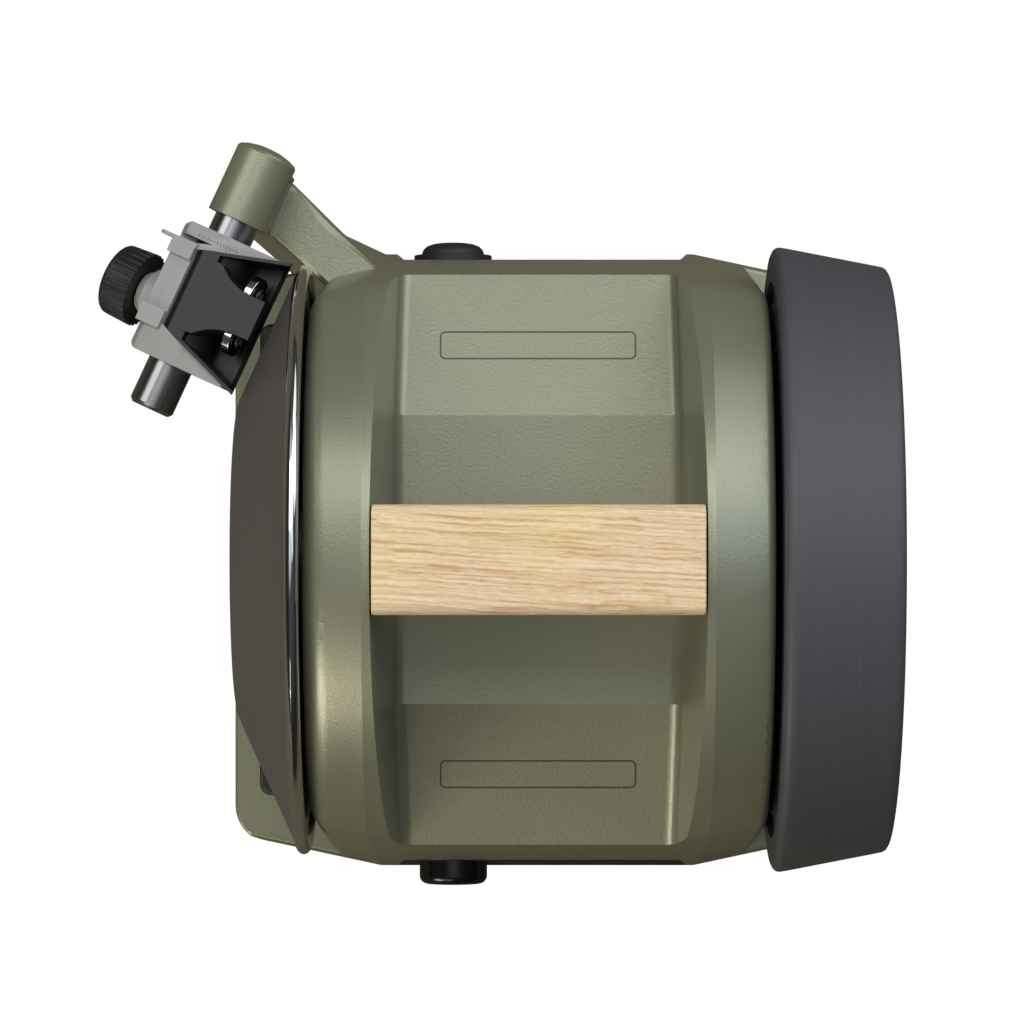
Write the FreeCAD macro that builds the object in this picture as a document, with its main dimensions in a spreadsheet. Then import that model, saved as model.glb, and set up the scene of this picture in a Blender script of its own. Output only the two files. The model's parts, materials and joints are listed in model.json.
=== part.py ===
import FreeCAD, Part
import math
import os
import Sketcher

# Electric knife sharpener: two grinding wheels on a geared motor, with a tilting knife guide.
# Millimetres; the wheel axis is the working origin, and the datum cells move it to the base centre.

SIZES = {
    "datum_x": 12.38, "datum_y": -9.62, "datum_z": 98.5,
    # casting
    "drum_radius": 76.5, "crest_half": 43.7, "drum_half": 58.6, "end_slope": 0.2126,
    "shoulder_y": 71.0, "shoulder_z": 28.4, "draft": 0.1186, "shoulder_blend": 32.0,
    "end_round_right": 2.8, "end_round_left": 8.0, "channel_round": 3.2,
    "foot_edge": 1.0,
    "base_z": -94.5, "foot_thick": 9.0, "foot_half": 84.1, "foot_corner": 10.6, "skin": 3.0,
    "channel_top_half": 41.7, "channel_draft": 0.0773, "floor_z": 12.8, "floor_half": 37.3,
    "exit_y": 74.2, "exit_z": 0.0,
    "bearing_boss": 17.0, "bearing_outer": 13.0, "bearing_width": 8.0, "shaft_radius": 5.0,
    # guide arm
    "arm_top": -26.0, "arm_edge": 2.2, "arm_boss_radius": 8.2, "arm_boss_start": -41.0, "arm_boss_end": -22.1,
    # base fittings
    "cover_thick": 2.0, "foot_pad_radius": 8.0, "foot_pad_high": 4.0,
    "foot_pad_x": 70.0, "foot_pad_y": 60.0,
    "cover_screw_radius": 2.0, "cover_screw_head": 3.8,
    "strip_near": 63.0, "strip_far": 77.2, "strip_half": 65.6, "strip_deep": 3.0,
    "strip_corner": 3.2, "strip_groove": 0.8,
    "panel_top_z": -67.6, "panel_top_half": 37.9, "panel_bottom_half": 40.6, "panel_thick": 1.7,
    "panel_shift": 1.3,
    "button_x": -23.3, "button_z": -81.0, "button_radius": 9.35, "button_front": -89.8,
    "button_gap": 0.3, "button_travel": 2.5, "switch_side": 24.0, "switch_depth": 20.0,
    "gland_x": -23.4, "gland_flange": 10.75, "gland_dome": 8.6, "gland_back": 87.9,
    # handle
    "handle_half": 41.15, "handle_low_half": 40.4, "handle_width": 27.2, "handle_top": 78.3, "handle_high": 18.0,
    "handle_edge": 3.0, "handle_screw": 2.5, "handle_screw_z": 66.4, "handle_screw_long": 26.0,
    # drive
    "gear_size": 1.0, "gear_wide": 4.0, "gear_plane_main": 45.0, "gear_plane_mid": 40.6,
    "mid_y": 22.16, "mid_z": -29.63, "motor_z": -58.0, "arbor_radius": 3.0,
    "motor_radius": 28.0, "motor_half": 20.0, "rotor_radius": 15.0, "rotor_gap": 0.6,
    "rotor_shaft": 4.0, "bracket_thick": 4.0, "bracket_face": 30.0,
    "plate_thick": 2.0, "plate_x": 37.0,
    # wheels
    "rim_x": -61.1, "rim_radius": 76.8, "cone_x": -62.9, "cone_radius": 73.9,
    "face_x": -78.3, "face_radius": 40.6, "wheel_gap": 2.0, "wheel_hub": 14.0,
    "hone_inner": 60.6, "hone_crest": 62.9, "hone_radius": 81.4, "hone_outer": 90.6,
    "hone_outer_radius": 75.8, "hone_edge": 1.6, "nut_across": 16.0, "nut_high": 6.0,
    # knife guide
    "guide_x": -87.8, "guide_y": 68.4, "guide_turn": -114.87, "guide_tilt": 20.0,
    "rod_radius": 6.0, "rod_end": 32.1, "rod_chamfer": 1.0,
    "yoke_near": -16.9, "yoke_far": 19.3, "yoke_radius": 11.9, "hub_edge": 1.8, "yoke_bore": 7.55,
    "bush_outer": 7.5, "bush_inner": 6.05, "bush_flange": 9.2, "bush_flange_thick": 1.2,
    "saddle_radius": 9.6, "insert_top": 12.0, "insert_plate": 2.2,
    "knob_u": 4.5, "knob_radius": 10.0, "knob_outer_radius": 9.5, "knob_near": -15.9,
    "knob_far": -24.4, "knob_boss": 7.0, "slot_face": 22.3, "slot_lip": 6.2, "mouth_near": -17.6,
    "mouth_far": 19.8, "mouth_half": 10.5, "insert_gap": 0.1, "tab_half": 5.4, "insert_lining": 0.9, "clamp_radius": 3.0,
    "roller_u": 6.0, "roller_w": 4.7, "roller_near": 14.4, "roller_thick": 2.2,
    "roller_radius": 4.9, "roller_pin": 1.5,
}

doc = FreeCAD.newDocument("knife_sharpener")
sheet = doc.addObject("Spreadsheet::Sheet", "sizes")
for row, (alias, number) in enumerate(SIZES.items(), start=1):
    sheet.set("A%d" % row, str(number))
    sheet.setAlias("A%d" % row, alias)
doc.recompute()


class Size:
    """A length that carries its number and the sheet expression it comes from."""

    def __init__(self, number, text):
        self.number = number
        self.text = text

    def joined(self, other, sign, number):
        return Size(number, "(%s %s %s)" % (self.text, sign, size(other).text))

    def __add__(self, other):
        return self.joined(other, "+", self.number + size(other).number)

    def __sub__(self, other):
        return self.joined(other, "-", self.number - size(other).number)

    def __mul__(self, other):
        return self.joined(other, "*", self.number * size(other).number)

    def __truediv__(self, other):
        return self.joined(other, "/", self.number / size(other).number)

    def __neg__(self):
        return Size(-self.number, "(0 - %s)" % self.text)

    def __radd__(self, other):
        return size(other) + self

    def __rsub__(self, other):
        return size(other) - self

    def __rmul__(self, other):
        return size(other) * self


def size(value):
    """A Size from a cell name, a plain number or a Size."""
    if isinstance(value, Size):
        return value
    if isinstance(value, str):
        return Size(float(SIZES[value]), "sizes.%s" % value)
    return Size(float(value), "%.6f" % value)


def bind(item, **values):
    """Ties properties of an object to the sheet."""
    for name, value in values.items():
        item.setExpression(name.replace("__", "."), size(value).text)


def put(item, x=0, y=0, z=0):
    """Moves an object inside the working frame, bound to the sheet."""
    bind(item, Placement__Base__x=x, Placement__Base__y=y, Placement__Base__z=z)
    return item


def origin_plane(body, role):
    return [item for item in body.Origin.OriginFeatures if item.Role == role][0]


def outline(body, name, role, points, offset=0):
    """A closed sketch of straight lines whose corners are bound to the sheet."""
    sketch = body.newObject("Sketcher::SketchObject", name)
    sketch.AttachmentSupport = [(origin_plane(body, role), "")]
    sketch.MapMode = "FlatFace"
    bind(sketch, AttachmentOffset__Base__z=offset)
    corners = [(size(a), size(b)) for a, b in points]
    count = len(corners)
    for index in range(count):
        here = corners[index]
        after = corners[(index + 1) % count]
        start = FreeCAD.Vector(here[0].number, here[1].number, 0)
        end = FreeCAD.Vector(after[0].number, after[1].number, 0)
        sketch.addGeometry(Part.LineSegment(start, end), False)
    for index in range(count):
        sketch.addConstraint(Sketcher.Constraint("Coincident", index, 2, (index + 1) % count, 1))
    for index, corner in enumerate(corners):
        for kind, axis, value in (("DistanceX", -2, corner[0]), ("DistanceY", -1, corner[1])):
            if abs(value.number) < 1e-6:
                sketch.addConstraint(Sketcher.Constraint("PointOnObject", index, 1, axis))
                continue
            made = sketch.addConstraint(Sketcher.Constraint(kind, -1, 1, index, 1, value.number))
            sketch.setExpression("Constraints[%d]" % made, value.text)
    return sketch


def new_body(name):
    return doc.addObject("PartDesign::Body", name)


def turned(name, points, role="XZ_Plane", axis="H_Axis"):
    """A body turned about the X axis (or the sketch's upright) from (along, radius) points."""
    body = new_body(name)
    sketch = outline(body, name + "_profile", role, points)
    solid = body.newObject("PartDesign::Revolution", name + "_turned")
    solid.Profile = sketch
    solid.ReferenceAxis = (sketch, [axis])
    solid.Angle = 360
    body.Tip = solid
    return body


def padded(name, role, points, start, length):
    """A body pushed out of a flat outline, from one distance along the plane's normal."""
    body = new_body(name)
    sketch = outline(body, name + "_profile", role, points, start)
    solid = body.newObject("PartDesign::Pad", name + "_pad")
    solid.Profile = sketch
    bind(solid, Length=length)
    body.Tip = solid
    return body


def lofted(name, low, low_z, high, high_z):
    """A body between two level outlines with the same number of corners."""
    body = new_body(name)
    first = outline(body, name + "_low", "XY_Plane", low, low_z)
    second = outline(body, name + "_high", "XY_Plane", high, high_z)
    solid = body.newObject("PartDesign::AdditiveLoft", name + "_loft")
    solid.Profile = first
    solid.Sections = [second]
    solid.Ruled = True
    body.Tip = solid
    return body


def cylinder(name, radius, length, axis="Z", x=0, y=0, z=0):
    """A round bar that starts at the given point and runs along an axis."""
    item = doc.addObject("Part::Cylinder", name)
    bind(item, Radius=radius, Height=length)
    turns = {"Z": (0, 0, 1, 0), "X": (0, 1, 0, 90), "Y": (1, 0, 0, -90)}
    a, b, c, angle = turns[axis]
    item.Placement = FreeCAD.Placement(FreeCAD.Vector(), FreeCAD.Rotation(FreeCAD.Vector(a, b, c), angle))
    return put(item, x, y, z)


def cone(name, radius, far_radius, length, axis="Z", x=0, y=0, z=0):
    item = doc.addObject("Part::Cone", name)
    bind(item, Radius1=radius, Radius2=far_radius, Height=length)
    turns = {"Z": (0, 0, 1, 0), "X": (0, 1, 0, 90), "Y": (1, 0, 0, -90)}
    a, b, c, angle = turns[axis]
    item.Placement = FreeCAD.Placement(FreeCAD.Vector(), FreeCAD.Rotation(FreeCAD.Vector(a, b, c), angle))
    return put(item, x, y, z)


def box(name, low, high):
    """A block between two opposite corners."""
    item = doc.addObject("Part::Box", name)
    low = [size(value) for value in low]
    high = [size(value) for value in high]
    bind(item, Length=high[0] - low[0], Width=high[1] - low[1], Height=high[2] - low[2])
    return put(item, *low)


def fuse(name, *items):
    item = doc.addObject("Part::MultiFuse", name)
    item.Shapes = list(items)
    item.Refine = True
    return item


def group(name, item):
    """Wraps one solid, so that it keeps its place while the wrapper is moved."""
    wrapper = doc.addObject("Part::Compound", name)
    wrapper.Links = [item]
    return wrapper


def cut(name, base, *tools):
    item = doc.addObject("Part::Cut", name)
    item.Base = base
    item.Tool = tools[0] if len(tools) == 1 else fuse(name + "_tools", *tools)
    item.Refine = True
    return item


def common(name, first, second):
    item = doc.addObject("Part::Common", name)
    item.Base = first
    item.Tool = second
    return item


def near_edges(shape, test):
    """Numbers of the edges whose middle passes the test."""
    found = []
    for number, edge in enumerate(shape.Edges, start=1):
        if test(edge.BoundBox):
            found.append(number)
    return found


def rounded(name, base, radius, test):
    """Base with a fillet on the edges whose bounding box passes the test."""
    doc.recompute()
    item = doc.addObject("Part::Fillet", name)
    item.Base = base
    value = size(radius).number
    item.Edges = [(number, value, value) for number in near_edges(base.Shape, test)]
    return item


parts = []


def node(item, label, x=0, y=0, z=0):
    """Names a finished piece and moves it from the wheel axis to the base centre."""
    item.Label = label
    bind(item, Placement__Base__x=size("datum_x") + x, Placement__Base__y=size("datum_y") + y,
         Placement__Base__z=size("datum_z") + z)
    parts.append(item)
    return item


def guide_node(item, label, tilt=True):
    """Names a piece of the knife guide and stands it at its slanted shaft, tilted with the guide."""
    item.Label = label
    angle = size("guide_tilt").number if tilt else 0
    turn = FreeCAD.Rotation(FreeCAD.Vector(0, 0, 1), size("guide_turn").number)
    lean = FreeCAD.Rotation(FreeCAD.Vector(1, 0, 0), angle)
    item.Placement = FreeCAD.Placement(FreeCAD.Vector(), turn.multiply(lean))
    bind(item, Placement__Base__x=size("datum_x") + "guide_x",
         Placement__Base__y=size("datum_y") + "guide_y", Placement__Base__z="datum_z")
    parts.append(item)
    return item


def root(value):
    return Size(math.sqrt(value.number), "sqrt(%s)" % value.text)


def mirrored_corners(quarter):
    """Four mirrored copies of a run of corners, in order round the outline."""
    right_back = [(x, y) for x, y in quarter]
    left_back = [(-size(x), y) for x, y in reversed(quarter)]
    left_front = [(-size(x), -size(y)) for x, y in quarter]
    right_front = [(x, -size(y)) for x, y in reversed(quarter)]
    return right_back + left_back + left_front + right_front


# Casting: round crown, drafted walls, foot flange and the handle channel, hollow from below

crest = size("crest_half")
slope = size("end_slope")
shoulder_z = size("shoulder_z")
base_z = size("base_z")
draft = size("draft")
shoulder_y = root(size("drum_radius") * "drum_radius" - shoulder_z * shoulder_z)
wall_run = draft * (shoulder_z - base_z)
foot_y = shoulder_y + wall_run


def section_points(inset, low_z):
    """Half of the cross-section in Y and Z: foot of the wall, both ends of the blend, and crown."""
    radius = SIZES["drum_radius"]
    blend = SIZES["shoulder_blend"]
    up = FreeCAD.Vector(0, -draft.number, 1).normalize()
    inward = FreeCAD.Vector(0, -1, -draft.number).normalize()
    from_wall = FreeCAD.Vector(0, shoulder_y.number, shoulder_z.number) + inward * blend
    along = from_wall.dot(up)
    reach = math.sqrt(along ** 2 - from_wall.dot(from_wall) + (radius - blend) ** 2)
    step = min((reach - along, -reach - along), key=abs)
    centre = from_wall + up * step
    wall_end = centre - inward * (blend - inset)
    crown_start = centre + FreeCAD.Vector(centre).normalize() * (blend - inset)
    halfway = (wall_end - centre + crown_start - centre).normalize()
    low = wall_end + up * ((low_z - wall_end.z) / up.z)
    return low, wall_end, centre + halfway * (blend - inset), crown_start, radius - inset


def section_wire(x, inset, low_z):
    """The closed cross-section at one distance along the wheel axis."""
    low, wall_end, halfway, crown_start, radius = section_points(inset, low_z)
    back = [low, wall_end, halfway, crown_start]
    back = [point + FreeCAD.Vector(x, 0, 0) for point in back]
    front = [FreeCAD.Vector(point.x, -point.y, point.z) for point in back]
    top = FreeCAD.Vector(x, 0, radius)
    curves = [Part.LineSegment(back[0], back[1]),
              Part.Arc(back[1], back[2], back[3]),
              Part.Arc(back[3], top, front[3]),
              Part.Arc(front[3], front[2], front[1]),
              Part.LineSegment(front[1], front[0]),
              Part.LineSegment(front[0], back[0])]
    return Part.Wire([curve.toShape() for curve in curves])


def casting_form(name, inset, low_z, rounds=()):
    """Crown and walls in one, with ends that taper inward by the same slope all round."""
    end = SIZES["drum_half"] - inset
    drop = inset + SIZES["end_slope"] * (end - crest.number)
    first = Part.Face(section_wire(-crest.number, inset, low_z))
    shape = first.extrude(FreeCAD.Vector(2 * crest.number, 0, 0))
    for side in (1, -1):
        wires = [section_wire(side * crest.number, inset, low_z), section_wire(side * end, drop, low_z)]
        shape = shape.fuse(Part.makeLoft(wires, True, True))
    shape = shape.removeSplitter()
    for side, radius in rounds:
        rim = [edge for edge in shape.Edges
               if abs(edge.BoundBox.Center.x - side * end) < 0.01 and edge.BoundBox.XLength < 0.01
               and edge.BoundBox.ZMax > low_z + 0.1]
        shape = shape.makeFillet(radius, rim)
    item = doc.addObject("Part::Feature", name)
    item.Shape = shape
    return item


def drafted(name, quarter, low_z, high_z):
    """A block whose front and back lean inward by the draft; quarter is its outline at the bottom."""
    body = new_body(name)
    for side, word in ((1, "back"), (-1, "front")):
        edge = [(x, side * size(y)) for x, y in quarter]
        far = [(-size(x), side * size(y)) for x, y in reversed(quarter)]
        last = size(quarter[0][0])
        sketch = outline(body, name + "_" + word, "XY_Plane",
                         edge + far + [(-last, -side * 10), (last, -side * 10)], low_z)
        pad = body.newObject("PartDesign::Pad", name + "_pad_" + word)
        pad.Profile = sketch
        pad.UseCustomVector = True
        pad.Direction = FreeCAD.Vector(0, -side * draft.number, 1)
        bind(pad, Direction__y=-side * draft)
        pad.AlongSketchNormal = True
        bind(pad, Length=size(high_z) - low_z)
        body.Tip = pad
    return body


def behind_wall(name, depth):
    """The space more than one depth behind the outer face of the front and rear walls."""
    below = 2
    return drafted(name, [(60, foot_y - depth + draft * below)], base_z - below, 0)


def channel(name, grow):
    """The handle channel through the crown: drafted sides, level floor, sloping ends."""
    lean = size("channel_draft")
    top_half = size("channel_top_half") + grow
    half_at_90 = top_half + lean * (90 - size("drum_radius"))
    half_below = top_half - lean * (size("drum_radius") + 30)
    across = padded(name + "_across", "XZ_Plane",
                    [(-half_below, -30), (half_below, -30), (half_at_90, 90), (-half_at_90, 90)],
                    -110, 220)
    floor_z = size("floor_z") - grow
    exit_z = size("exit_z") - grow
    fall = (floor_z - exit_z) / (size("exit_y") - "floor_half")
    far_z = exit_z - fall * (95 - size("exit_y"))
    along = padded(name + "_along", "YZ_Plane",
                   [("floor_half", floor_z), (95, far_z), (95, 90), (-95, 90), (-95, far_z),
                    (-size("floor_half"), floor_z)], -60, 120)
    sharp = common(name + "_sharp", across, along)
    return rounded(name, sharp, "channel_round",
                   lambda b: b.ZMax < 60 and b.YLength > 20 and b.XLength < 5)


foot_lean = slope * root(draft * draft + 1)
foot_end_y = foot_y - foot_lean * (size("foot_half") - crest)
foot_quarter = [("foot_half", foot_end_y), (crest, foot_y)]
foot = drafted("foot_flange", foot_quarter, base_z, base_z + "foot_thick")
foot_outline = padded("foot_outline", "XY_Plane", mirrored_corners(foot_quarter), base_z, "foot_thick")
foot_corners = rounded("foot_corners", foot_outline, "foot_corner",
                       lambda b: b.ZLength > 8 and b.XLength < 0.1 and min(abs(b.XMin), abs(b.XMax)) > 80)
foot_round = rounded("foot_edge", common("foot_round", foot, foot_corners), "foot_edge",
                     lambda b: b.ZLength < 0.1 and b.ZMin > base_z.number + 8)
outer_form = casting_form("outer_form", 0, base_z.number,
                          [(1, SIZES["end_round_right"]), (-1, SIZES["end_round_left"])])

# Guide arm: a drafted block off the left rear of the base with a level top, a neck and a boss

arm_plan = [(-38.5, 73.8), (-42.6, 77.9), (-54, 89.2), (-65, 100.1), (-76.8, 105.6), (-83.3, 91.9),
            (-71.5, 86.4), (-53, 69.8)]
arm_edge = size("arm_edge")


def drawn_in(points, amount):
    """The corners moved towards the middle of the outline."""
    middle_x = sum(x for x, y in points) / len(points)
    middle_y = sum(y for x, y in points) / len(points)
    moved = []
    for x, y in points:
        reach = math.hypot(middle_x - x, middle_y - y)
        moved.append((x + amount * ((middle_x - x) / reach), y + amount * ((middle_y - y) / reach)))
    return moved


arm_block = lofted("arm_block",
                   [(-36, 80), (-42, 85.4), (-56.5, 92.2), (-64, 96.3), (-70, 94), (-73, 84), (-64, 76),
                    (-50, 70)], base_z, arm_plan, size("arm_top") - arm_edge)
arm_shoulder = lofted("arm_shoulder", arm_plan, size("arm_top") - arm_edge,
                      drawn_in(arm_plan, arm_edge * 0.45), size("arm_top") - arm_edge * 0.35)
arm_crown = lofted("arm_crown", drawn_in(arm_plan, arm_edge * 0.45), size("arm_top") - arm_edge * 0.35,
                   drawn_in(arm_plan, arm_edge * 1.3), "arm_top")

turn_guide = FreeCAD.Rotation(FreeCAD.Vector(0, 0, 1), size("guide_turn").number)


def on_guide(item, u, v, w):
    """Places an item of the fixed arm in the slanted frame of the guide shaft."""
    item.Placement = FreeCAD.Placement(FreeCAD.Vector(), turn_guide.multiply(item.Placement.Rotation))
    along = (size("guide_x"), size("guide_y"))
    cosine = math.cos(math.radians(size("guide_turn").number))
    sine = math.sin(math.radians(size("guide_turn").number))
    return put(item, along[0] + cosine * size(u) - sine * size(v),
               along[1] + sine * size(u) + cosine * size(v), w)


boss_long = size("arm_boss_end") - "arm_boss_start"
boss_start_u = size("arm_boss_start")
boss_r = size("arm_boss_radius")
arm_boss = on_guide(turned("arm_boss", [
    (boss_start_u - 1.7, 0), (boss_start_u - 1.5, 3), (boss_start_u - 0.9, 5.8), (boss_start_u - 0.1, 7.7),
    (boss_start_u + 0.6, boss_r), ("arm_boss_end", boss_r), ("arm_boss_end", 0)]), 0, 0, 0)
arm_neck = doc.addObject("Part::Box", "arm_neck")
bind(arm_neck, Length=boss_long - 3, Width=size("arm_boss_radius") * 1.7, Height=-size("arm_top") + 2)
on_guide(arm_neck, size("arm_boss_start") + 1.5, -size("arm_boss_radius") * 0.85, size("arm_top") - 2)
rod_hole = on_guide(cylinder("rod_hole", "rod_radius", boss_long, "X"),
                    size("arm_boss_start") + 3, 0, 0)

solid_casting = fuse("solid_casting", outer_form, foot_round, arm_block, arm_shoulder, arm_crown,
                     arm_boss, arm_neck)

# Hollow of the casting, with bearing bosses, ribs for the motor and posts for the bottom cover

skin = size("skin")
hollow = casting_form("hollow", skin.number, base_z.number - 5)
boss_start = size("drum_half") - 1 - "bearing_width"
seat_length = size("bearing_width")
boss_length = size("drum_half") - 2 - boss_start
rib_near = size("bracket_face") + "bracket_thick"
kept = [channel("channel_skin", skin)]
for side, name in ((1, "right"), (-1, "left")):
    start = boss_start if side > 0 else -boss_start - boss_length
    kept.append(cylinder("bearing_boss_" + name, "bearing_boss", boss_length, "X", start))
    near = rib_near if side > 0 else -rib_near - skin
    rib = box("rib_" + name, (near, -66, -24), (near + skin, 66, 12))
    rib_hole = cylinder("rib_hole_" + name, 9, 10, "X", near - 3)
    kept.append(cut("rib_open_" + name, rib, rib_hole))
    for back in (1, -1):
        kept.append(cylinder("cover_post_%s_%s" % (name, "back" if back > 0 else "front"), 5, 34, "Z",
                             side * size(52), back * size(72), base_z + "cover_thick"))
hollow_open = cut("hollow_open", hollow, *kept)

# Openings in the casting

openings = [channel("channel_tool", 0), hollow_open, rod_hole]
for side, name in ((1, "right"), (-1, "left")):
    seat = boss_start if side > 0 else -boss_start - seat_length
    openings.append(cylinder("bearing_seat_" + name, "bearing_outer", seat_length, "X", seat))
    outlet = size(50) if side > 0 else size(-65)
    openings.append(cylinder("shaft_outlet_" + name, 7, 15, "X", outlet))
    screw_start = size(36) if side > 0 else size(-50)
    openings.append(cylinder("handle_hole_" + name, "handle_screw", 14, "X", screw_start, 0,
                             "handle_screw_z"))
    for back in (1, -1):
        openings.append(cylinder("cover_hole_%s_%s" % (name, "back" if back > 0 else "front"),
                                 "cover_screw_radius", 14, "Z", side * size(52), back * size(72),
                                 base_z - 2))

strip_hole = box("strip_hole", (-size("strip_far"), -size("strip_half"), base_z + "foot_thick" - "strip_deep"),
                 (-size("strip_near"), "strip_half", base_z + "foot_thick" + 1))
openings.append(rounded("strip_pocket", strip_hole, "strip_corner",
                        lambda b: b.ZLength > 3 and b.XLength < 0.1 and b.YLength < 0.1))


def panel_prism(name, side):
    """The trapezoid outline of the front panel, or of the rear recess, through one wall."""
    shift = size("panel_shift")
    points = [(shift - "panel_bottom_half", base_z - 1), (shift + "panel_bottom_half", base_z - 1),
              (shift + "panel_top_half", "panel_top_z"), (shift - "panel_top_half", "panel_top_z")]
    return padded(name, "XZ_Plane", points, 60 if side < 0 else -95, 35)


front_pocket = cut("front_pocket", panel_prism("front_outline", -1), behind_wall("panel_back", "panel_thick"))
rear_pocket = cut("rear_pocket", panel_prism("rear_outline", 1), behind_wall("recess_back", 1.5))
openings.append(front_pocket)
openings.append(rear_pocket)
openings.append(cylinder("switch_hole", 11, 12, "Y", "button_x", -88, "button_z"))
openings.append(cylinder("gland_hole", 6, 14, "Y", "gland_x", 74, "button_z"))
housing = node(cut("housing_cut", solid_casting, *openings), "housing")

# Front panel and switch

panel_slab = common("panel_slab", drafted("panel_wall", [(60, foot_y)], base_z, 0),
                    panel_prism("panel_outline", -1))
panel_plate = cut("panel_plate", panel_slab, behind_wall("panel_inside", "panel_thick"),
                  cylinder("panel_hole", size("button_radius") + "button_gap", 20, "Y",
                           "button_x", -95, "button_z"))
front_panel = node(panel_plate, "front_panel")

button_bar = cylinder("button_bar", "button_radius", 12, "Y", "button_x", "button_front", "button_z")
switch_button = node(rounded("button_round", button_bar, 2.2, lambda b: b.YMax < -89), "switch_button")

side = size("switch_side") / 2
switch_block = box("switch_block", (size("button_x") - side, -77.5, size("button_z") - side + 1.5),
                   (size("button_x") + side, -58, size("button_z") + side))
switch_collar = cylinder("switch_collar", 11, 4, "Y", "button_x", -80.9, "button_z")
switch_bore = cylinder("switch_bore", size("button_radius") + "button_gap", 12, "Y",
                       "button_x", -84, "button_z")
node(cut("switch_body_cut", fuse("switch_solid", switch_block, switch_collar), switch_bore), "switch_body")

# Cable gland

gland_ring = cut("gland_ring", cylinder("gland_disc", "gland_flange", 6.4, "Y", "gland_x", 78, "button_z"),
                 behind_wall("gland_back_face", 1.5))
gland_nose = turned("gland_nose", [(0, 84), ("gland_dome", 84), ("gland_dome", 84.9), (8.2, 86.0),
                                   (7.2, 86.9), (5.6, 87.5), (3.4, 87.85), (0, "gland_back")],
                    "XY_Plane", "V_Axis")
gland_body = fuse("gland_body", cylinder("gland_neck", 5.95, 8, "Y", "gland_x", 76, "button_z"),
                  gland_ring, put(gland_nose, "gland_x", 0, "button_z"))
node(cut("gland_cut", gland_body, cylinder("gland_bore", 3.6, 20, "Y", "gland_x", 72, "button_z")),
     "cable_gland")

# Bottom cover, its screws and the feet

cover_y = foot_y - skin - 0.5
cover_end = size("drum_half") - skin - 0.3
cover_end_y = cover_y - slope * (cover_end - crest)
cover_plate = padded("cover_plate", "XY_Plane", mirrored_corners([(cover_end, cover_end_y), (crest, cover_y)]),
                     base_z, "cover_thick")
cover_holes = []
cover_screws = []
for x_side in (1, -1):
    for y_side in (1, -1):
        at = (x_side * size(52), y_side * size(72))
        tag = "%d%d" % (x_side + 1, y_side + 1)
        cover_holes.append(cylinder("cover_through_" + tag, "cover_screw_radius", 6, "Z", *at, base_z - 2))
        head = cylinder("cover_head_" + tag, "cover_screw_head", 1.8, "Z", *at, base_z - 1.8)
        stem = cylinder("cover_stem_" + tag, "cover_screw_radius", 12, "Z", *at, base_z)
        cover_screws.append(fuse("cover_screw_" + tag, head, stem))
node(cut("cover_cut", cover_plate, *cover_holes), "bottom_cover")
node(fuse("cover_screw_set", *cover_screws), "cover_screws")
feet = [cylinder("foot_%d%d" % (a + 1, b + 1), "foot_pad_radius", "foot_pad_high", "Z",
                 a * size("foot_pad_x"), b * size("foot_pad_y"), base_z - "foot_pad_high")
        for a in (1, -1) for b in (1, -1)]
node(fuse("foot_set", *feet), "rubber_feet")

# Magnet strip let into the top of the foot

gap = size("strip_groove")
strip = box("strip_bar", (-size("strip_far") + gap, -size("strip_half") + gap,
                          base_z + "foot_thick" - "strip_deep"),
            (-size("strip_near") - gap, size("strip_half") - gap, base_z + "foot_thick"))
node(rounded("strip_round", strip, size("strip_corner") - gap,
             lambda b: b.ZLength > 2 and b.XLength < 0.1 and b.YLength < 0.1), "magnet_strip")

# Carrying handle and its screws

handle_low = size("handle_top") - "handle_high"
handle_bar = padded("handle_bar", "XZ_Plane",
                    [(-size("handle_low_half"), handle_low), ("handle_low_half", handle_low),
                     ("handle_half", "handle_top"), (-size("handle_half"), "handle_top")],
                    size("handle_width") * -0.5, "handle_width")
handle_soft = rounded("handle_soft", handle_bar, "handle_edge",
                      lambda b: b.XLength > 50)
pilot_left = cylinder("pilot_left", "handle_screw", 20, "X", -42, 0, "handle_screw_z")
pilot_right = cylinder("pilot_right", "handle_screw", 20, "X", 22, 0, "handle_screw_z")
node(cut("handle_cut", handle_soft, pilot_left, pilot_right), "handle")
ridge_face = size("channel_top_half") + skin + 0.2
handle_screws = [
    fuse("handle_screw_right",
         cylinder("screw_stem_right", "handle_screw", 20, "X", ridge_face - 20, 0, "handle_screw_z"),
         cylinder("screw_head_right", 4.5, 3, "X", ridge_face, 0, "handle_screw_z")),
    fuse("handle_screw_left",
         cylinder("screw_stem_left", "handle_screw", 20, "X", -ridge_face, 0, "handle_screw_z"),
         cylinder("screw_head_left", 4.5, 3, "X", -ridge_face - 3, 0, "handle_screw_z"))]
node(fuse("handle_screw_set", *handle_screws), "handle_screws")

# Main shaft and its two ball bearings

shaft_bar = cylinder("shaft_bar", "shaft_radius", 169.0, "X", -79.0)
node(shaft_bar, "main_shaft", -79.0)
for side, name in ((1, "right"), (-1, "left")):
    start = boss_start if side > 0 else -boss_start - seat_length
    ring = cylinder("bearing_ring_" + name, "bearing_outer", seat_length, "X", start)
    bore = cylinder("bearing_bore_" + name, size("shaft_radius") + 0.05, 20, "X", start - 4)
    node(cut("bearing_" + name, ring, bore), "shaft_bearing_" + name)


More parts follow.
